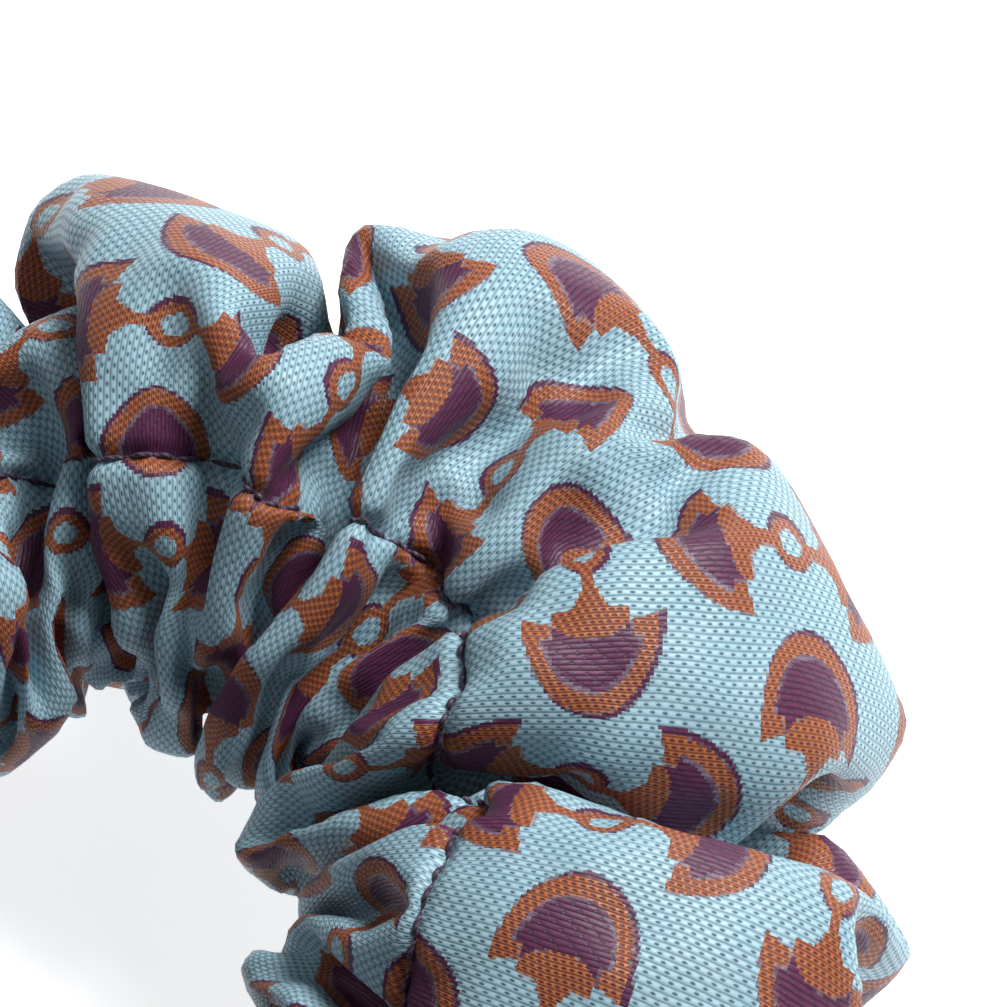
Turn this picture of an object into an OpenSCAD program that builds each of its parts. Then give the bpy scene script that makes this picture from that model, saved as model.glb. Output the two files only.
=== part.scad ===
// Gathered hair scrunchie: a tube of jacquard cloth closed into a ring round a flat elastic loop.
// The ring lies on its side, +Z is up, and the origin is the centre of its underside.

/* [Ring] */
// Outer diameter of the relaxed ring
ring_d = 122; // [110:1:150]
// Diameter of the puffed cloth tube, seen in section
tube_d = 46; // [38:1:50]
// How much the tube is flattened where it lies on a table
flat_sink = 2.5; // [2.5:0.5:4]

/* [Cloth] */
// Thickness of the wall, as one layer of cloth with its small gathers
wall = 1.2; // [1:0.1:2]
// Width of the seam allowance that stands inside the tube
allowance_w = 7; // [4:0.5:9]
// Where the lengthwise seam runs on the section: 0 is outermost, 90 is the top
seam_turn = 112; // [70:1:130]
// Length of the tube end that is tucked into the other end
tuck_l = 8; // [5:0.5:14]

/* [Thread] */
// Diameter of the sewing thread with its small stitch loops
thread_d = 0.6; // [0.4:0.1:0.8]
// Free space round a thread in its groove
thread_gap = 0.1; // [0.05:0.05:0.2]

/* [Elastic] */
// Radius of the elastic loop, at the middle of the band
elastic_r = 21; // [20.5:0.5:24]
// Width of the elastic band
elastic_w = 7; // [4:0.5:9]
// Thickness of the elastic band
elastic_t = 1.2; // [0.8:0.1:1.6]
// Length over which the two ends of the band overlap
lap_l = 12; // [8:1:16]
// Number of legs in the zigzag that joins the lap
zigzag_legs = 10; // [6:2:14]

/* [Hidden] */
$fn = 96;
tube_r = tube_d / 2;
core_r = ring_d / 2 - tube_r;                 // radius of the circle through the middle of the tube
core_z = tube_r - flat_sink;                  // height of the middle of the tube
tuck_gap = 0.3;                               // free space between the tucked end and the end round it
slit_a = angle_of(1.2, core_r);               // opening between the two ends, which the thread closes
flange_a = angle_of(2, core_r);               // stretch over which the tube narrows to the tucked end
tuck_a = angle_of(tuck_l, core_r);
closing_at = 205;                             // where the closing seam sits round the ring
thread_r = thread_d / 2;
groove_r = thread_r + thread_gap;
lap_a = angle_of(lap_l, elastic_r);
lap_r = elastic_r + elastic_t;                // radius of the band's second layer, on the lap
lap_inset = 0.2;                              // how much narrower the pressed lap is, at each edge
stitch_margin = 0.9;                          // band left beyond the zigzag at each edge
zigzag_z = elastic_w / 2 - stitch_margin;

// The turn, in degrees, of an arc of a given length at a given radius
function angle_of(length, radius) = length / radius * 180 / PI;

// A point of the tube's section, seen in the plane of radius and height
function section_point(turn, from_middle) =
    [core_r + from_middle * cos(turn), core_z + from_middle * sin(turn)];

// The section of the puffed tube, drawn inset by a depth: a circle with a flat underside
module tube_section(inset) {
    intersection() {
        translate([core_r, core_z]) circle(r = tube_r - inset);
        translate([core_r - tube_r, inset]) square([tube_d, tube_d]);
    }
}

// A closed band of cloth in section, from an outer inset to an inner inset
module cloth_section(outer, inner) {
    difference() {
        tube_section(outer);
        tube_section(inner);
    }
}

// Both raw edges of the cloth, sewn together and left standing inside the tube
module allowance_section() {
    translate(section_point(seam_turn, 0)) rotate(seam_turn)
        translate([tube_r - wall - allowance_w, -wall / 2]) square([allowance_w + wall / 2, wall]);
}

// The wall of the tube with its allowance, and the groove in which the seam thread lies
module wall_section() {
    difference() {
        union() {
            cloth_section(0, wall);
            allowance_section();
        }
        translate(section_point(seam_turn, tube_r)) circle(r = groove_r);
    }
}

// A section swept round the ring, from one turn to another
module sweep(from, to) {
    rotate([0, 0, from]) rotate_extrude(angle = to - from) children();
}

// One strip of jacquard sewn to a tube, its ends tucked one into the other
module cover() {
    tuck_outer = wall + tuck_gap;
    tuck_inner = tuck_outer + wall;
    color([0.47, 0.63, 0.70])
        rotate([0, 0, closing_at]) {
            sweep(flange_a, 360 - slit_a) wall_section();
            sweep(0, flange_a) cloth_section(0, tuck_inner);
            sweep(-tuck_a, 0) cloth_section(tuck_outer, tuck_inner);
        }
}

// The thread of the seam that runs the whole length of the tube
module long_seam_thread() {
    clear_a = 2 * flange_a;
    color([0.22, 0.12, 0.25])
        rotate([0, 0, closing_at])
            sweep(clear_a, 360 - clear_a)
                translate(section_point(seam_turn, tube_r)) circle(r = thread_r);
}

// The thread that closes the ring where one end of the tube is tucked into the other
module closing_seam_thread() {
    side_a = angle_of(thread_gap, core_r);
    color([0.30, 0.18, 0.32])
        rotate([0, 0, closing_at])
            sweep(side_a - slit_a, -side_a) cloth_section(thread_gap, wall);
}

// The flat section of the elastic
module band_section() {
    translate([elastic_r - elastic_t / 2, core_z - elastic_w / 2]) square([elastic_t, elastic_w]);
}

// The section of the end that is lapped over the band, a little narrower and sunk into it
module lap_section() {
    translate([elastic_r, core_z - elastic_w / 2 + lap_inset])
        square([1.5 * elastic_t, elastic_w - 2 * lap_inset]);
}

// The elastic loop, with its two ends lapped
module elastic_band() {
    color([0.93, 0.92, 0.88]) {
        rotate_extrude() band_section();
        sweep(-lap_a / 2, lap_a / 2) lap_section();
    }
}

// One straight leg of the zigzag, from one edge of the band to the other
module zigzag_leg(index) {
    step_a = lap_a / (zigzag_legs + 1);
    rise = index % 2 == 0 ? 1 : -1;
    step_l = step_a * PI / 180 * lap_r;
    face_r = lap_r + elastic_t / 2 + thread_r;
    leg_l = norm([step_l, 2 * zigzag_z]);
    rotate([0, 0, (index + 1) * step_a - lap_a / 2])
        translate([face_r, 0, core_z])
            rotate([rise * atan2(step_l, 2 * zigzag_z), 0, 0])
                cylinder(h = leg_l, r = thread_r, center = true);
}

// The zigzag of thread that joins the lapped ends of the elastic
module elastic_join_thread() {
    color([0.96, 0.95, 0.92])
        for (index = [0 : zigzag_legs - 1]) zigzag_leg(index);
}

cover();
long_seam_thread();
closing_seam_thread();
elastic_band();
elastic_join_thread();
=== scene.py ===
# %% [markdown]
# # A gathered scrunchie in silk jacquard
#
# A scrunchie is a long strip of cloth sewn to a tube, pushed up on a short loop of elastic and
# closed into a ring. Everything that we see comes from that: the cloth is four times as long as
# the elastic, so it has to go somewhere, and it stands up in puffs with deep creases between them.
#
# We could sculpt puffs and creases by hand, but cloth that was cut flat and hardly stretches folds
# in a way that is hard to invent. So we sew the tube flat and wide, and let a cloth simulation
# gather it, as the maker does. All sizes rest on a guess that the ring is about 120 mm across.

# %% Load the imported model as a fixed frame
import math

import bpy
import numpy as np
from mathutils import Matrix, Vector


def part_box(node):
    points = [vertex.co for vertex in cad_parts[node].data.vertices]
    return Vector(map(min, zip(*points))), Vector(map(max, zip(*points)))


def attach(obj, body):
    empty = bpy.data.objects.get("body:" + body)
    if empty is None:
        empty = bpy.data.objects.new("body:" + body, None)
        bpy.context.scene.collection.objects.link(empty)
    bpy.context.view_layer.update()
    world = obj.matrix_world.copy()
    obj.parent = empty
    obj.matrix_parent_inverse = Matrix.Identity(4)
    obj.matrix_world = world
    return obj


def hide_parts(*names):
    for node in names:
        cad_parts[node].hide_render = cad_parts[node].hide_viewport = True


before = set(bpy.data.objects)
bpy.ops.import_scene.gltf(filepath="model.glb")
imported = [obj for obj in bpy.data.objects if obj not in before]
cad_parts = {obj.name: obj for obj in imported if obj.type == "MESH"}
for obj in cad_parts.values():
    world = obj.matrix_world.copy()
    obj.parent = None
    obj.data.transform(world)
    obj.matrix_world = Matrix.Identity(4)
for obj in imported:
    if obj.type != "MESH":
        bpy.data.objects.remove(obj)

TAU = 2 * math.pi
MM = 0.001
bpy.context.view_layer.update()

# %% [markdown]
# ## Read the sizes from the frame
#
# The ring, the tube and the elastic already have their sizes in the model, so we measure the boxes
# of its parts. Only sizes that belong to the cloth itself, such as the length of the strip, are
# given here.

# %% Sizes of the ring, the tube and the elastic
cover_low, cover_high = (np.array(corner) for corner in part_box("cover"))
band_low, band_high = (np.array(corner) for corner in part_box("elastic_band"))

ring_radius = (cover_high[1] - cover_low[1]) / 2
band_width = band_high[2] - band_low[2]
band_height = (band_low[2] + band_high[2]) / 2          # height of the elastic's middle
half_band = 0.6 * MM                                    # half the elastic's thickness
band_radius = round((band_high[1] - band_low[1]) / 2 - half_band, 5)
print("ring radius", ring_radius, "band radius", band_radius, "band width", band_width)

strip_length = 0.53            # the cloth's cut; the solver starts longer and ends a little shorter
tube_round = 0.124             # the way once round the cloth tube
closing_turn = math.radians(205)     # where the ends of the tube meet, round the ring
seam_share = 0.19              # how far round the tube the long seam lies, from the inner line

# %% [markdown]
# ## Camera, light and floor
#
# We look down on the ring from close by, so one quarter of it fills the picture. A long lens from
# about 40 centimetres keeps the far side of the ring nearly as large as the near side. The light is
# one wide soft lamp above and behind the ring, with a weak fill: silk shows its folds by long soft
# highlights, and a small hard lamp would only make glints. The floor glows a little as well, which
# is painted light: it brightens the floor, lightens the shadows on it and lifts the shade under
# the cloth.

# %% Camera
camera_data = bpy.data.cameras.new("camera")
camera = bpy.data.objects.new("camera", camera_data)
bpy.context.collection.objects.link(camera)
bpy.context.scene.camera = camera

view_rise = math.radians(62)
view_distance = 0.42
camera_data.lens = 200
look_at = Vector((0.495 * ring_radius, 0.518 * ring_radius, band_height))


def aim(thing, target):
    """Turns a camera or lamp so that its -Z axis points at the target."""
    thing.rotation_euler = (Vector(target) - thing.location).to_track_quat("-Z", "Y").to_euler()


camera.location = look_at + view_distance * Vector((0, -math.cos(view_rise), math.sin(view_rise)))
aim(camera, look_at)
print("camera", tuple(camera.location))


# %% Soft lamps and a pale room
def soft_lamp(name, place, size, power):
    """A square lamp of a given size in metres, aimed at the middle of the ring."""
    data = bpy.data.lights.new(name, "AREA")
    data.size = size
    data.energy = power
    lamp = bpy.data.objects.new(name, data)
    bpy.context.collection.objects.link(lamp)
    lamp.location = place
    aim(lamp, (0, 0, band_height))
    return lamp


soft_lamp("key_lamp", (0.32, 0.26, 0.50), 0.26, 4.9)
soft_lamp("fill_lamp", (-0.50, 0.10, 0.45), 0.50, 0.45)

room = bpy.data.worlds.new("room")
room.use_nodes = True
room.node_tree.nodes["Background"].inputs["Color"].default_value = (1.0, 1.0, 1.0, 1)
room.node_tree.nodes["Background"].inputs["Strength"].default_value = 0.10
bpy.context.scene.world = room
bpy.context.scene.view_settings.view_transform = "Standard"

# %% [markdown]
# ## Shader maths that reads as arithmetic
#
# A woven pattern is worked out from coordinates, and that takes many small Math nodes. We wrap a
# socket in a class that knows plus, minus and times, so that a formula in the script looks like a
# formula on paper, and each operation adds its own node.


# %% Wires and graphs
class Wire:
    """A value that varies over the surface. Arithmetic on it adds Math nodes to its graph."""

    def __init__(self, graph, socket):
        self.graph = graph
        self.socket = socket

    def __add__(self, other):
        return self.graph.math("ADD", self, other)

    def __radd__(self, other):
        return self.graph.math("ADD", other, self)

    def __sub__(self, other):
        return self.graph.math("SUBTRACT", self, other)

    def __rsub__(self, other):
        return self.graph.math("SUBTRACT", other, self)

    def __mul__(self, other):
        return self.graph.math("MULTIPLY", self, other)

    def __rmul__(self, other):
        return self.graph.math("MULTIPLY", other, self)

    def __truediv__(self, other):
        return self.graph.math("DIVIDE", self, other)

    def floor(self):
        return self.graph.math("FLOOR", self)

    def size(self):
        return self.graph.math("ABSOLUTE", self)

    def wave(self):
        return self.graph.math("SINE", self)

    def wrap(self, low, high):
        return self.graph.math("WRAP", self, high, low)

    def either(self, other):
        return self.graph.math("MAXIMUM", self, other)

    def step(self, low, high):
        """Rises smoothly from 0 at low to 1 at high, or falls where low is the larger."""
        node = self.graph.add("ShaderNodeMapRange", interpolation_type="SMOOTHSTEP")
        ends = (low, high, 0.0, 1.0) if low < high else (high, low, 1.0, 0.0)
        for label, value in zip(("From Min", "From Max", "To Min", "To Max"), ends):
            node.inputs[label].default_value = value
        self.graph.put(node.inputs["Value"], self)
        return Wire(self.graph, node.outputs["Result"])


class Graph:
    """One shader tree, with short ways to add nodes and to fill their inputs."""

    def __init__(self, tree):
        self.tree = tree

    def put(self, socket, value):
        """Links a wire or a socket to an input, or sets the input to a plain value."""
        value = value.socket if isinstance(value, Wire) else value
        if isinstance(value, bpy.types.NodeSocket):
            self.tree.links.new(value, socket)
        else:
            socket.default_value = value

    def add(self, kind, inputs=(), **settings):
        node = self.tree.nodes.new(kind)
        for name, value in settings.items():
            setattr(node, name, value)
        for label, value in dict(inputs).items():
            self.put(node.inputs[label], value)
        return node

    def math(self, operation, *values):
        node = self.add("ShaderNodeMath", operation=operation)
        for socket, value in zip(node.inputs, values):
            self.put(socket, value)
        return Wire(self, node.outputs[0])

    def far(self, x, y):
        """The distance of the point (x, y) from zero."""
        return self.math("SQRT", x * x + y * y)

    def noise(self, vector, scale, detail=2.0):
        node = self.add("ShaderNodeTexNoise", {"Vector": vector, "Scale": scale, "Detail": detail})
        return Wire(self, node.outputs["Fac"])

    def paint(self, share, first, second):
        """A colour that goes from the first to the second as share goes from 0 to 1."""
        node = self.add("ShaderNodeMix", data_type="RGBA")
        self.put(node.inputs[0], share)
        self.put(node.inputs[6], first)
        self.put(node.inputs[7], second)
        return node.outputs[2]

    def place(self, group, **values):
        """Places a node group and returns the node."""
        node = self.add("ShaderNodeGroup", node_tree=group)
        for label, value in values.items():
            self.put(node.inputs[label.replace("_", " ")], value)
        return node


def new_group(name, inputs, outputs):
    """An empty node group with named sockets: gives its graph, input wires and output node."""
    tree = bpy.data.node_groups.new(name, "ShaderNodeTree")
    for label, value in inputs.items():
        socket = tree.interface.new_socket(label, in_out="INPUT", socket_type="NodeSocketFloat")
        socket.default_value = value
    for label in outputs:
        tree.interface.new_socket(label, in_out="OUTPUT", socket_type="NodeSocketFloat")
    graph = Graph(tree)
    source = tree.nodes.new("NodeGroupInput")
    wires = [Wire(graph, source.outputs[label]) for label in inputs]
    return graph, wires, tree.nodes.new("NodeGroupOutput")


# %% [markdown]
# ## Woven floats
#
# In this cloth every crossing of the threads shows as one short float, a stretch of yarn that
# lies on top, and between two floats a dark binding thread comes up as a dot. Each row is shifted
# against the one before, as bricks are. So one row number and one place along the row are all we
# need: their whole parts name the float, and their fractions say where we are on it.


# %% The group for woven floats
def floats_group():
    """Rows of floats: the height of the yarn, the dark gap between floats, and a shade per float."""
    graph, (along, across, row_pitch, float_length, row_shift, gap), out = new_group(
        "woven floats",
        {"Along": 0, "Across": 0, "Row Pitch": 0.45, "Float Length": 0.92, "Row Shift": 0.5, "Gap": 1.0},
        ("Height", "Gap", "Shade"),
    )
    row = (along / row_pitch).floor()
    on_row = along / row_pitch - row - 0.5
    count = across / float_length + row * row_shift
    number = count.floor()
    on_float = count - number - 0.5
    from_gap = (0.5 - on_float.size()) * float_length
    dot = graph.far(from_gap / (0.20 * gap), on_row * row_pitch / 0.085).step(1.3, 0.5)
    crown = 1 - on_row * on_row * 3.4
    rise = 1 - on_float * on_float * 1.6
    cell = graph.add("ShaderNodeCombineXYZ", {"X": row, "Y": number})
    shade = graph.add("ShaderNodeTexWhiteNoise", {"Vector": cell.outputs[0]}, noise_dimensions="2D")
    graph.put(out.inputs["Height"], crown * rise * (1 - dot * 0.8))
    graph.put(out.inputs["Gap"], dot)
    graph.put(out.inputs["Shade"], shade.outputs["Value"])
    return graph.tree


woven_floats = floats_group()

# %% [markdown]
# ## The fan motif
#
# The motif is two half-moon fans back to back, with a bead on the stem between them. A half moon is
# a stretched circle cut straight: we divide the two distances by the fan's height and half width,
# and the distance of that point from zero is 1 all along the rim. One sum gives the rim, the fill
# and the outline, and taking the size of the distance along the stem mirrors the fan to the other
# side.


# %% The group for one motif
def motif_group():
    """Masks of one motif round zero, in millimetres: copper yarn, purple yarn and a pale accent."""
    graph, (along, across), out = new_group(
        "fan motif", {"Along": 0, "Across": 0}, ("Copper", "Purple", "Accent")
    )
    fan_start, fan_height, fan_half = 5.4, 6.6, 5.0
    reach = along.size()
    side = across / fan_half
    rounds = graph.far((reach - fan_start) / fan_height, side)
    fan = (reach + side * side * 0.9 - fan_start - 0.55).step(0.0, 0.12)
    moon = rounds.step(1.01, 0.99) * fan
    rim = moon * rounds.step(0.785, 0.805)
    edge = graph.far((reach - fan_start) / fan_height, (across - 0.2) / fan_half).step(1.06, 1.04) * fan
    flare = graph.far((reach - fan_start) / 1.6, across / 2.9).step(1.02, 0.98)
    flare = flare * (reach - fan_start).step(-0.6, -0.5)
    neck = (reach - fan_start).step(-2.2, 0.2) * 1.1 + 0.5
    stem = (across.size() - neck).step(0.05, -0.05) * (reach - fan_start).step(0.3, 0.1)
    bead = graph.far(along / 2.05, across / 1.65).step(1.02, 0.98)
    eye = graph.far(along / 1.2, across / 0.9).step(1.05, 0.95)
    curl = moon * (reach - fan_start).step(1.45, 1.3) * side.size().step(0.58, 0.62)
    copper = rim.either(flare).either(curl).either(stem).either(bead) * (1 - eye)
    purple = moon.either(edge)
    halo = graph.far(along / 2.35, (across - 0.2) / 2.0).step(1.02, 0.98)
    accent = moon * rounds.step(0.73, 0.75) * rounds.step(0.80, 0.78)
    graph.put(out.inputs["Copper"], copper)
    graph.put(out.inputs["Purple"], purple.either(halo * (1 - eye)))
    graph.put(out.inputs["Accent"], accent * (1 - flare))
    return graph.tree


fan_motif = motif_group()

# %% [markdown]
# ## The layout of the motifs
#
# The motifs stand on a board of squares. On one colour of square they point along the strip, on the
# other across it, and each one's end reaches for the waist of its neighbour. Along its own line a
# motif comes back every two squares, and the next line is shifted by one, so each family needs
# only one wrapped coordinate.


# %% The group for the layout
def layout_group():
    """Masks of both families of motifs, from millimetres along and across the strip."""
    graph, (along, across, square), out = new_group(
        "motif layout", {"Along": 0, "Across": 0, "Square": 17.7}, ("Copper", "Purple", "Accent")
    )

    def family(first, second, shift):
        line = (second / square + 0.5).floor()
        local_first = (first + (line + shift) * square).wrap(square * -1, square)
        local_second = second - line * square
        return graph.place(fan_motif, Along=local_first, Across=local_second)

    lying = family(along, across, 0.0)
    standing = family(across, along, 1.0)
    for label in ("Copper", "Purple", "Accent"):
        mask = Wire(graph, lying.outputs[label]).either(Wire(graph, standing.outputs[label]))
        graph.put(out.inputs[label], mask)
    return graph.tree


motif_layout = layout_group()

# %% [markdown]
# ## Silk jacquard
#
# A jacquard loom lifts each thread on its own, so the motif isn't printed: copper and purple yarn
# come to the face in steps of one thread. We round the place to whole threads before we ask the
# layout which yarn is on top, and each yarn then gets its own floats. The yarns differ in shine
# too, so roughness follows the same masks, and the height of the floats goes to a Bump node. The
# same height also sets the colour of each float: lighter on its crown and darker between the rows,
# which is painted highlight and painted shade.


# %% The jacquard material
def shader_of(name):
    """A new material: gives it with its graph and its Principled node."""
    material = bpy.data.materials.new(name)
    material.use_nodes = True
    graph = Graph(material.node_tree)
    return material, graph, material.node_tree.nodes["Principled BSDF"]


def cloth_place(graph):
    """The two distances of the UV map that is drawn in millimetres, as wires."""
    place = graph.add("ShaderNodeUVMap", uv_map="millimetres")
    parts = graph.add("ShaderNodeSeparateXYZ", {"Vector": place.outputs["UV"]})
    return place.outputs["UV"], Wire(graph, parts.outputs["X"]), Wire(graph, parts.outputs["Y"])


def jacquard_material():
    material, graph, shader = shader_of("silk_jacquard")
    place, along, across = cloth_place(graph)
    drift = graph.noise(place, 0.09) - 0.5
    along = along + drift * 1.2
    across = across + (graph.noise(place, 0.07, 1.0) - 0.5) * 1.2

    thread_along, thread_across = 0.225, 0.3
    square = 17.7
    along_step = ((along / thread_along).floor() + 0.5) * thread_along
    across_step = ((across / thread_across).floor() + 0.5) * thread_across
    motif = graph.place(motif_layout, Along=along_step + 3.0, Across=across_step + 7.0, Square=square)
    copper = Wire(graph, motif.outputs["Copper"])
    purple = Wire(graph, motif.outputs["Purple"]) * (1 - copper)
    accent = Wire(graph, motif.outputs["Accent"]) * (1 - copper)

    def floats(row_pitch, float_length, row_shift, gap):
        node = graph.place(
            woven_floats, Along=along, Across=across,
            Row_Pitch=row_pitch, Float_Length=float_length, Row_Shift=row_shift, Gap=gap,
        )
        return [Wire(graph, node.outputs[label]) for label in ("Height", "Gap", "Shade")]

    ground_height, ground_gap, ground_shade = floats(0.45, 0.92, 0.5, 1.0)
    copper_height, copper_gap, copper_shade = floats(0.40, 0.62, 0.31, 1.15)
    rib_height, rib_gap, rib_shade = floats(0.36, 1.5, 0.37, 0.55)

    # painted light: each ground float is coloured lighter on its crown and darker towards the rows
    # beside it, a painted highlight on the float and painted shade between the rows
    ground = graph.paint(ground_height, (0.075, 0.17, 0.225, 1), (0.44, 0.66, 0.76, 1))
    ground = graph.paint(ground_shade * 0.35, ground, (0.32, 0.53, 0.63, 1))
    ground = graph.paint(ground_gap * 0.65, ground, (0.05, 0.07, 0.12, 1))
    # painted light: the copper floats go from almost black between the rows to bright copper on their
    # crowns, painted shade and a painted highlight
    orange = graph.paint(copper_height, (0.10, 0.022, 0.02, 1), (0.56, 0.175, 0.055, 1))
    orange = graph.paint(copper_shade * 0.35, orange, (0.32, 0.10, 0.045, 1))
    orange = graph.paint(copper_gap * 0.7, orange, (0.09, 0.02, 0.04, 1))
    # painted light: the purple ribs are coloured darker between them and lighter on their crowns,
    # painted shade and a painted highlight
    violet = graph.paint(rib_height, (0.025, 0.006, 0.02, 1), (0.135, 0.03, 0.09, 1))
    violet = graph.paint(rib_gap * 0.2, violet, (0.28, 0.18, 0.30, 1))
    violet = graph.paint(accent * rib_shade * 0.4, violet, (0.40, 0.38, 0.47, 1))

    worn = graph.noise(place, 0.35, 4.0)
    ground = graph.paint((worn - 0.45) * 0.35, ground, (0.55, 0.60, 0.66, 1))
    colour = graph.paint(purple, ground, violet)
    colour = graph.paint(copper, colour, orange)
    graph.put(shader.inputs["Base Color"], colour)

    height = ground_height * (1 - copper) * (1 - purple)
    height = height + rib_height * purple * 0.7 + copper_height * copper * 1.2
    rough = 0.50 - height * 0.12 + ground_gap * 0.2
    graph.put(shader.inputs["Roughness"], rough)
    fibre = graph.noise(place, 9.0, 1.0)
    bump = graph.add("ShaderNodeBump", {"Height": height + fibre * 0.15})
    bump.inputs["Strength"].default_value = 0.55
    bump.inputs["Distance"].default_value = 0.09 * MM
    graph.put(shader.inputs["Normal"], bump.outputs["Normal"])
    shader.inputs["Sheen Weight"].default_value = 0.05
    shader.inputs["Sheen Roughness"].default_value = 0.35
    shader.inputs["Specular IOR Level"].default_value = 0.32
    return material


silk_jacquard = jacquard_material()


# %% [markdown]
# ## Thread and elastic
#
# Sewing thread is two strands twisted together, so a slanted wave along its length is enough. The
# elastic is a flat braid: strands run over one another at a slant both ways, which is the sum of
# two crossed waves, and its ribs of rubber show as long low ridges. The waves give the bump and
# also the colour, darker in the dips and paler on the raised strands and ridges, which is painted
# shade and painted highlight.


# %% Thread and elastic materials
def twisted_thread(name, dark, pale, twists_per_mm):
    """Thread whose strands wind round it, on a UV map of turns round and millimetres along."""
    material, graph, shader = shader_of(name)
    place, along, turn = cloth_place(graph)
    strand = ((along * twists_per_mm + turn * 2.0) * TAU).wave() * 0.5 + 0.5
    # painted light: the thread is coloured darker in the groove between its strands and paler on their
    # crowns, painted shade and a painted highlight that follow the bump
    graph.put(shader.inputs["Base Color"], graph.paint(strand, dark, pale))
    graph.put(shader.inputs["Roughness"], 0.75 - strand * 0.2)
    bump = graph.add("ShaderNodeBump", {"Height": strand})
    bump.inputs["Distance"].default_value = 0.05 * MM
    graph.put(shader.inputs["Normal"], bump.outputs["Normal"])
    shader.inputs["Sheen Weight"].default_value = 0.2
    return material


def braided_elastic():
    material, graph, shader = shader_of("braided_elastic")
    place, along, across = cloth_place(graph)
    slant = ((along + across) * TAU / 1.1).wave() * ((along - across) * TAU / 1.1).wave() * 0.5 + 0.5
    rib = ((across * TAU / 0.9).wave()) * 0.5 + 0.5
    # painted light: the braid is coloured grey where its strands dip under each other and paler where
    # they cross on top and along the rib ridges, painted shade and painted highlight that follow the
    # bump
    colour = graph.paint(slant, (0.55, 0.54, 0.50, 1), (0.88, 0.87, 0.83, 1))
    colour = graph.paint(rib * 0.25, colour, (0.95, 0.94, 0.91, 1))
    graph.put(shader.inputs["Base Color"], colour)
    graph.put(shader.inputs["Roughness"], 0.85 - slant * 0.15)
    bump = graph.add("ShaderNodeBump", {"Height": slant * 0.7 + rib * 0.5})
    bump.inputs["Distance"].default_value = 0.15 * MM
    graph.put(shader.inputs["Normal"], bump.outputs["Normal"])
    return material


purple_thread = twisted_thread("purple_thread", (0.015, 0.008, 0.02, 1), (0.10, 0.05, 0.11, 1), 1.6)
white_thread = twisted_thread("white_thread", (0.55, 0.54, 0.50, 1), (0.90, 0.89, 0.86, 1), 1.6)
elastic_braid = braided_elastic()

# %% [markdown]
# ## Surfaces from grids of points
#
# Every piece here is a grid of points, rows along the piece and columns round it, so one function
# builds them all. A loop of cloth wraps both ways, a thread wraps round but has two ends, which
# get caps. The UV map is drawn in millimetres of the flat piece, so that the weave keeps its real
# size wherever the cloth is gathered.


# %% Grids, smooth reading between rows and threads along a path
def grid_mesh(name, points, along, across, loop):
    """Joins a grid of points into faces. Columns always wrap round; rows do if loop is true.

    along and across give the UV place, in millimetres, of each row and of each column, with one
    more number than there are faces in that direction.
    """
    rows, columns = points.shape[:2]
    index = np.arange(rows * columns).reshape(rows, columns)
    ahead = np.roll(index, -1, axis=0)
    index_here, index_ahead = (index, ahead) if loop else (index[:-1], ahead[:-1])
    quads = np.stack(
        [index_here, np.roll(index_here, -1, 1), np.roll(index_ahead, -1, 1), index_ahead], axis=-1
    ).reshape(-1, 4)
    u_low, v_low = np.meshgrid(along[:-1], across[:-1], indexing="ij")
    u_high, v_high = np.meshgrid(along[1:], across[1:], indexing="ij")
    corners = np.stack([u_low, v_low, u_low, v_high, u_high, v_high, u_high, v_low], axis=-1)
    faces = quads.tolist()
    flat_map = corners.reshape(-1)
    if not loop:
        faces += [index[0, ::-1].tolist(), index[-1].tolist()]
        flat_map = np.concatenate([flat_map, np.zeros(4 * columns)])
    mesh = bpy.data.meshes.new(name)
    mesh.from_pydata(points.reshape(-1, 3).tolist(), [], faces)
    mesh.polygons.foreach_set("use_smooth", np.ones(len(faces), dtype=bool))
    mesh.uv_layers.new(name="millimetres").data.foreach_set("uv", flat_map)
    mesh.update()
    thing = bpy.data.objects.new(name, mesh)
    bpy.context.collection.objects.link(thing)
    print(name, len(faces), "faces")
    return thing


def read_between(grid, places):
    """Reads a closed grid of evenly spaced rows at any places, on the smooth curve through them.

    The curve is a Catmull-Rom spline: a cubic between two rows whose slope at each is half the
    difference of that row's two neighbours.
    """
    rows = len(grid)
    low = np.floor(places).astype(int)
    part = (places - low).reshape(-1, *([1] * (grid.ndim - 1)))
    before, first, second, after = (grid[(low + step) % rows] for step in (-1, 0, 1, 2))
    slope_in = (second - before) / 2
    slope_out = (after - first) / 2
    square, cube = part**2, part**3
    return (
        first * (2 * cube - 3 * square + 1) + slope_in * (cube - 2 * square + part)
        + second * (3 * square - 2 * cube) + slope_out * (cube - square)
    )


def unit(vectors):
    """The same directions with length 1."""
    return vectors / np.linalg.norm(vectors, axis=-1, keepdims=True)


def outward(grid):
    """The direction that points out of the cloth at each point of a grid closed both ways."""
    down_rows = np.roll(grid, -1, 0) - np.roll(grid, 1, 0)
    down_columns = np.roll(grid, -1, 1) - np.roll(grid, 1, 1)
    return unit(np.cross(down_columns, down_rows))


def thread_piece(name, path, lift, radius, loop, sides=8):
    """A round thread along a path of points. lift is the direction at each point that stays up."""
    if loop:
        run = np.roll(path, -1, 0) - np.roll(path, 1, 0)
    else:
        run = np.gradient(path, axis=0)
    side = unit(np.cross(run, lift))
    up = unit(np.cross(side, run))
    turn = np.arange(sides) / sides * TAU
    ring = side[:, None] * np.cos(turn)[None, :, None] + up[:, None] * np.sin(turn)[None, :, None]
    points = path[:, None] + radius * ring
    steps = np.linalg.norm(np.diff(path, axis=0, append=path[:1]), axis=-1) / MM
    along = np.concatenate([[0], np.cumsum(steps)])
    across = np.linspace(0, 1, sides + 1)
    return grid_mesh(name, points, along if loop else along[:-1], across, loop)
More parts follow.
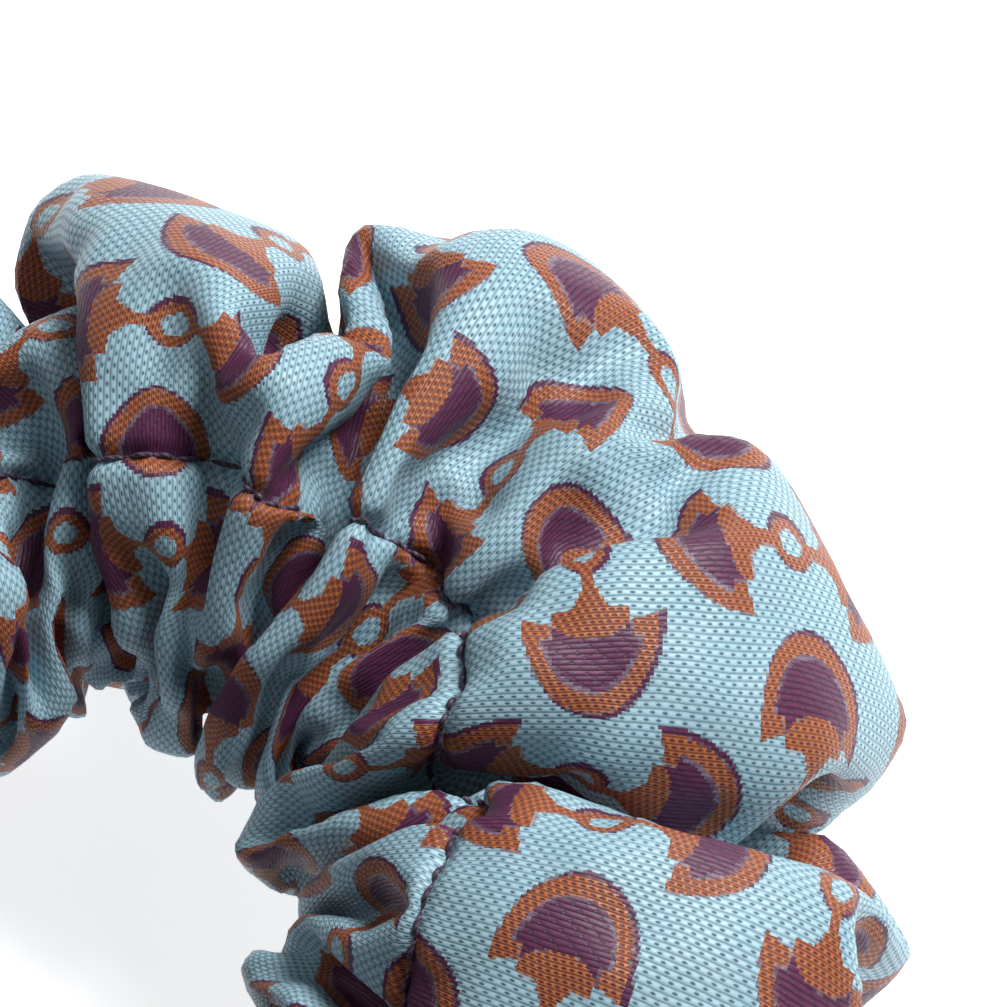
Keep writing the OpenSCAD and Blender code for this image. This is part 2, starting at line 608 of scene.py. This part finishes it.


# %% [markdown]
# ## Gathering the cloth
#
# On the real object a long tube of cloth is threaded onto a short elastic, and when the elastic
# springs back the cloth has to fold. We let the cloth solver do the same. The tube starts as a
# wide, nearly flat ring. A few points of its inner line are held, and these anchors travel to the
# small circle of the elastic; between them the cloth is free, with some air inside, and buckles
# into pleats and puffs of its own. Uneven spaces between the anchors make large and small puffs.
# The elastic itself shrinks in step, as an obstacle that keeps the cloth out, all but a point.
#
# The folds depend on chance: several seeds and settings were run, each ring was turned about, and
# one was kept that shows a large round puff to the camera. The seed and the turn below are that
# choice.
#
# The solver works best with pieces about a metre in size, so everything is ten times larger in
# the simulation.


# %% Anchors along the strip
rows, columns = 200, 44
seed = 5                                         # picked from several runs by its look
shrink_frames, last_frame = 50, 60
solver_scale = 10.0
inner_length = 0.44                              # the inner line of the wide ring that we start with
held_radius = band_radius - 3.5 * MM
held_height = round(band_height + 0.5 * MM, 5)   # a little high: the result is lowered again
ring_turn = math.radians(6)                      # picked so that a round puff faces the camera
anchor_count = 15
first_anchor = math.radians(-48)

random = np.random.default_rng(seed)
strip_gaps = random.uniform(0.6, 1.5, anchor_count)
ring_gaps = random.uniform(0.8, 1.2, anchor_count)
strip_gaps = strip_gaps / strip_gaps.sum()
ring_gaps = 0.5 * strip_gaps + 0.5 * ring_gaps / ring_gaps.sum()
strip_places = np.concatenate([[0], np.cumsum(strip_gaps)])
ring_places = np.concatenate([[0], np.cumsum(ring_gaps)])
row_places = np.arange(rows) / rows
anchor_rows = np.unique(np.round(strip_places[:-1] * rows).astype(int) % rows)
rows_apart = np.diff(anchor_rows)
print(anchor_count, "anchors, from", rows_apart.min(), "to", rows_apart.max(), "rows apart")


# %% Rings of cloth and the simulation
def round_grid(inner_radius, section_width, section_height, turns, count):
    """A ring with a rounded section, as rows of points. Column 0 is the inner line of the ring.

    From the inner line a point goes up first: its distance from the axis grows as 1 minus the
    cosine of its turn, and its height follows the sine. With a negative width the section is
    drawn inwards from its outermost line.
    """
    section = np.arange(count) / count * TAU
    far = inner_radius + section_width / 2 * (1 - np.cos(section))
    height = held_height + section_height / 2 * np.sin(section)
    points = np.empty((len(turns), count, 3))
    points[..., 0] = np.cos(turns)[:, None] * far
    points[..., 1] = np.sin(turns)[:, None] * far
    points[..., 2] = height
    return points


def morphing(name, start, end):
    """A closed grid that moves from one shape to another while the elastic springs back."""
    row_steps, column_steps = (np.arange(count + 1.0) for count in start.shape[:2])
    thing = grid_mesh(name, start * solver_scale, row_steps, column_steps, True)
    thing.shape_key_add(name="flat")
    gathered = thing.shape_key_add(name="gathered")
    gathered.data.foreach_set("co", (end * solver_scale).ravel())
    gathered.value = 0
    gathered.keyframe_insert("value", frame=1)
    gathered.value = 1
    gathered.keyframe_insert("value", frame=shrink_frames)
    return thing


def set_cloth(modifier):
    """Light, smooth cloth with air inside, which collides with itself."""
    settings = modifier.settings
    settings.vertex_group_mass = "held"
    settings.quality = 6
    settings.mass = 0.15
    settings.tension_stiffness = 15
    settings.compression_stiffness = 15
    settings.shear_stiffness = 5
    settings.bending_stiffness = 2.5
    settings.bending_damping = 0.5
    settings.use_pressure = True
    settings.uniform_pressure_force = 3
    settings.effector_weights.gravity = 0.05
    contact = modifier.collision_settings
    contact.use_self_collision = True
    contact.self_distance_min = 0.008
    contact.distance_min = 0.005
    contact.self_friction = 5
    modifier.point_cache.frame_start = 1
    modifier.point_cache.frame_end = last_frame


def gather_cloth():
    """Simulates the gathering and returns the grid of the gathered cloth, in metres."""
    full_radius = inner_length / TAU
    width = tube_round / math.pi
    start = round_grid(full_radius, width, width, row_places * TAU + first_anchor, columns)
    start[..., 2] += random.normal(size=(rows, columns)) * 0.4 * MM
    ring_turns = np.interp(row_places, strip_places, ring_places) * TAU + first_anchor
    end = round_grid(held_radius, width, width, ring_turns, columns)
    cloth = morphing("simulated_cloth", start, end)
    cloth.vertex_groups.new(name="held").add((anchor_rows * columns).tolist(), 1.0, "REPLACE")
    set_cloth(cloth.modifiers.new("cloth", "CLOTH"))

    obstacle_rows, obstacle_columns = 120, 10
    elastic_turns = np.arange(obstacle_rows) / obstacle_rows * TAU
    thick, tall = 4.8 * MM, band_width + 1.8 * MM
    outer = band_radius + 0.9 * MM + thick / 2
    obstacle = morphing(
        "simulated_elastic",
        round_grid(outer + full_radius - held_radius, -thick, tall, elastic_turns, obstacle_columns),
        round_grid(outer, -thick, tall, elastic_turns, obstacle_columns),
    )
    obstacle.data.flip_normals()
    table = bpy.data.objects.new("simulated_table", bpy.data.meshes.new("simulated_table"))
    table.data.from_pydata([(-5, -5, 0), (5, -5, 0), (5, 5, 0), (-5, 5, 0)], [], [(0, 1, 2, 3)])
    bpy.context.collection.objects.link(table)
    for thing, distance in ((obstacle, 0.003), (table, 0.01)):
        thing.modifiers.new("contact", "COLLISION")
        thing.collision.thickness_outer = distance

    for frame_number in range(1, last_frame + 1):
        bpy.context.scene.frame_set(frame_number)
    solved = cloth.evaluated_get(bpy.context.evaluated_depsgraph_get()).to_mesh()
    flat = np.empty(rows * columns * 3)
    solved.vertices.foreach_get("co", flat)
    bpy.context.scene.frame_set(1)
    for thing in (cloth, obstacle, table):
        bpy.data.objects.remove(thing)
    solved_cloth = flat.reshape(rows, columns, 3) / solver_scale
    turned_x = np.array([math.cos(ring_turn), math.sin(ring_turn), 0])
    turned_y = np.array([-math.sin(ring_turn), math.cos(ring_turn), 0])
    solved_cloth[..., 2] += band_height - held_height
    return solved_cloth @ np.array([turned_x, turned_y, [0, 0, 1]])


gathered_cloth = gather_cloth()
print("gathered cloth from", gathered_cloth.min(axis=(0, 1)), "to", gathered_cloth.max(axis=(0, 1)))

# %% [markdown]
# ## The cover: seams sunk into the cloth
#
# The simulated grid is coarse, so we soften it a little and read it again on a smooth curve, with
# more rows, and with columns packed close together beside the long seam. A seam on a tube is sewn
# inside out: both edges turn in, and the line itself lies in a small valley, with the cloth drawn up
# between the stitches. So the points near the seam are moved inwards, deepest on the seam itself.
# Where the ends of the tube meet, one end is folded in over the other and stands a little proud.

# %% The finer grid, starting at the closing seam
fine_rows = 456
row_middles = gathered_cloth.mean(axis=1)
row_turns = np.unwrap(np.arctan2(row_middles[:, 1], row_middles[:, 0]))
from_closing = np.angle(np.exp(1j * (row_turns - closing_turn)))
closing_row = int(np.argmin(np.abs(from_closing)))
gathered_cloth = np.roll(gathered_cloth, -closing_row, axis=0)

plain_count = 98
seam_steps = np.array([-2.2, -1.4, -0.9, -0.55, -0.28, 0, 0.28, 0.55, 0.9, 1.4, 2.2])
seam_steps = seam_steps * MM / tube_round
plain_steps = np.linspace(seam_steps[-1], 1 + seam_steps[0], plain_count)[1:-1]
column_steps = np.concatenate([seam_steps[5:], plain_steps, 1 + seam_steps[:5]])
column_places = (column_steps + seam_share) * columns

soft_cloth = gathered_cloth
for axis in (0, 1):
    neighbours = np.roll(soft_cloth, 1, axis) + np.roll(soft_cloth, -1, axis)
    soft_cloth = 0.8 * soft_cloth + 0.1 * neighbours
fine_cloth = read_between(soft_cloth, np.arange(fine_rows) * rows / fine_rows)
fine_cloth = np.swapaxes(read_between(np.swapaxes(fine_cloth, 0, 1), column_places), 0, 1)
across_mm = np.append(column_steps, 1.0) * tube_round / MM
along_mm = np.arange(fine_rows + 1) / fine_rows * strip_length / MM
print("fine grid", fine_cloth.shape)


# %% Seam valley, puckers and the folded end
def beside(distance, width):
    """A bell that is 1 at distance 0 and fades over the given width."""
    return np.exp(-((distance / width) ** 2))


stitch_mm = 2.5
cloth_out = outward(fine_cloth)
seam_distance = np.minimum(across_mm[:-1], across_mm[-1] - across_mm[:-1])
valley = -0.9 * beside(seam_distance, 0.75)
pucker = 0.16 * np.cos(along_mm[:-1] / stitch_mm * TAU)[:, None] * beside(seam_distance - 1.6, 1.3)
past_closing = along_mm[:-1]
before_closing = along_mm[-1] - past_closing
end_distance = np.minimum(past_closing, before_closing)
fold = 0.8 * beside(past_closing, 5.0) * (past_closing < along_mm[-1] / 2)
fold = fold - 1.5 * beside(end_distance, 1.0)
lift_mm = valley[None, :] + pucker + fold[:, None]
fine_cloth = fine_cloth + cloth_out * lift_mm[..., None] * MM

# the underside settles onto the table, and the cloth higher up stays where it is
settling_height = 13 * MM
lowest = fine_cloth[..., 2].min()
settling = 1 - np.clip((fine_cloth[..., 2] - lowest) / settling_height, 0, 1)
fine_cloth[..., 2] -= lowest * settling**2
print("settled by", lowest)

cover = grid_mesh("jacquard_cover", fine_cloth, along_mm, across_mm, True)
cloth_wall = cover.modifiers.new("cloth thickness", "SOLIDIFY")
cloth_wall.thickness = 0.45 * MM
cloth_wall.offset = -1
cover.data.materials.append(silk_jacquard)

# %% [markdown]
# ## The seam threads
#
# A line of machine stitches is one thread that rises over the cloth and dives under it once a
# stitch. The path follows the bottom of the valley, and a wave the length of one stitch lifts it.
# The ends of the tube are closed by hand with whip stitches, a coil that winds across the fold.

# %% Long seam
seam_points = 1800
seam_cut = 4.0                                  # millimetres left free at each end
seam_mm = np.linspace(seam_cut, strip_length / MM - seam_cut, seam_points)
seam_rows = seam_mm / along_mm[-1] * fine_rows
seam_line = read_between(fine_cloth[:, 0], seam_rows)
seam_out = unit(read_between(cloth_out[:, 0], seam_rows))
stitch_wave = 0.22 * np.cos(seam_mm / stitch_mm * TAU) + 0.10
seam_path = seam_line + seam_out * stitch_wave[:, None] * MM
long_seam_thread = thread_piece("long_seam_stitches", seam_path, seam_out, 0.19 * MM, loop=False)
long_seam_thread.data.materials.append(purple_thread)

# %% Closing seam
whip_points, whip_pitch = 960, 2.2
whip_share = np.arange(whip_points) / whip_points
closing_line = np.swapaxes(fine_cloth[:1], 0, 1)[:, 0]
closing_out = cloth_out[0]
closing_along = unit(fine_cloth[2] - fine_cloth[-2])
whip_columns = np.interp(whip_share * across_mm[-1], across_mm, np.arange(len(across_mm)))
whip_line = read_between(closing_line, whip_columns)
whip_out = unit(read_between(closing_out, whip_columns))
whip_along = unit(read_between(closing_along, whip_columns))
whip_turn = whip_share * TAU * round(across_mm[-1] / whip_pitch)
whip_reach = (0.9 * np.cos(whip_turn))[:, None]
whip_lift = (0.45 + 0.6 * np.sin(whip_turn))[:, None]
whip_path = whip_line + MM * (whip_along * whip_reach + whip_out * whip_lift)
closing_seam_thread = thread_piece(
    "closing_seam_stitches", whip_path, whip_out, 0.16 * MM, loop=True, sides=6
)
closing_seam_thread.data.materials.append(purple_thread)

# %% [markdown]
# ## The elastic inside
#
# The elastic is a flat braided band. Its two ends lie one on the other and a zigzag of thread
# joins them. The band is a rounded rectangle carried round the ring for a little more than one
# turn, and near the end it climbs by its own thickness onto its start.

# %% Elastic band
band_thickness = 2 * half_band
lap_turn = 12 * MM / band_radius
band_turns = np.linspace(-lap_turn / 2, TAU + lap_turn / 2, 260)
climb = np.clip((band_turns - (TAU - lap_turn)) / (lap_turn / 3), 0, 1)
middle_radius = band_radius + band_thickness * 1.02 * climb * climb * (3 - 2 * climb)

section_turn = np.arange(28) / 28 * TAU
square_cos = np.sign(np.cos(section_turn)) * np.abs(np.cos(section_turn)) ** 0.35
square_sin = np.sign(np.sin(section_turn)) * np.abs(np.sin(section_turn)) ** 0.35
far = middle_radius[:, None] - band_thickness / 2 * square_cos
band_grid = np.stack(
    [
        np.cos(band_turns)[:, None] * far,
        np.sin(band_turns)[:, None] * far,
        np.broadcast_to(band_height + band_width / 2 * square_sin, far.shape),
    ],
    axis=-1,
)
band_steps = np.linalg.norm(np.diff(band_grid, axis=1, append=band_grid[:, :1])[0], axis=-1) / MM
band_across = np.concatenate([[0], np.cumsum(band_steps)])
elastic_band = grid_mesh("braided_band", band_grid, band_turns * band_radius / MM, band_across, False)
elastic_band.data.materials.append(elastic_braid)

# %% Zigzag of thread over the lap
zigzag_legs = 10
zigzag_share = np.linspace(0, zigzag_legs, 40 * zigzag_legs + 1)
swing = 1 - 2 * np.abs((zigzag_share + 1) % 2 - 1)
zigzag_turns = (zigzag_share / zigzag_legs - 0.5) * lap_turn * 0.85
zigzag_out = np.stack([np.cos(zigzag_turns), np.sin(zigzag_turns), np.zeros_like(zigzag_turns)], axis=-1)
zigzag_path = zigzag_out * (band_radius + band_thickness * 1.52 + 0.2 * MM)
zigzag_path[:, 2] = band_height + swing * (band_width / 2 - 0.9 * MM)
elastic_join_thread = thread_piece("zigzag_stitches", zigzag_path, zigzag_out, 0.25 * MM, loop=False)
elastic_join_thread.data.materials.append(white_thread)

# %% [markdown]
# ## Tying the pieces to the model
#
# Each piece stands for one part of the imported model and moves with the body that part belongs to.

# %% Bodies, with the model's own parts hidden
links = (
    (cover, "cover", "cloth", "jacquard_cloth"),
    (long_seam_thread, "long_seam_thread", "cloth", "sewing_thread"),
    (closing_seam_thread, "closing_seam_thread", "cloth", "sewing_thread"),
    (elastic_band, "elastic_band", "elastic", "braided_elastic"),
    (elastic_join_thread, "elastic_join_thread", "elastic", "elastic_thread"),
)
for piece, node, body, finish in links:
    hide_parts(node)
    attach(piece, body)

# %% Floor
floor_data = bpy.data.meshes.new("floor")
floor_data.from_pydata([(-3, -3, 0), (3, -3, 0), (3, 3, 0), (-3, 3, 0)], [], [(0, 1, 2, 3)])
floor = bpy.data.objects.new("floor", floor_data)
bpy.context.collection.objects.link(floor)
floor_material, _, floor_shader = shader_of("glowing_paper")
floor_shader.inputs["Base Color"].default_value = (0.93, 0.93, 0.93, 1)
floor_shader.inputs["Roughness"].default_value = 0.9
# painted light: the floor glows, which brightens it past what the lamps give, lightens the shadows on it
# and lifts the shade under the cloth
floor_shader.inputs["Emission Color"].default_value = (1, 1, 1, 1)
floor_shader.inputs["Emission Strength"].default_value = 0.72
floor_data.materials.append(floor_material)
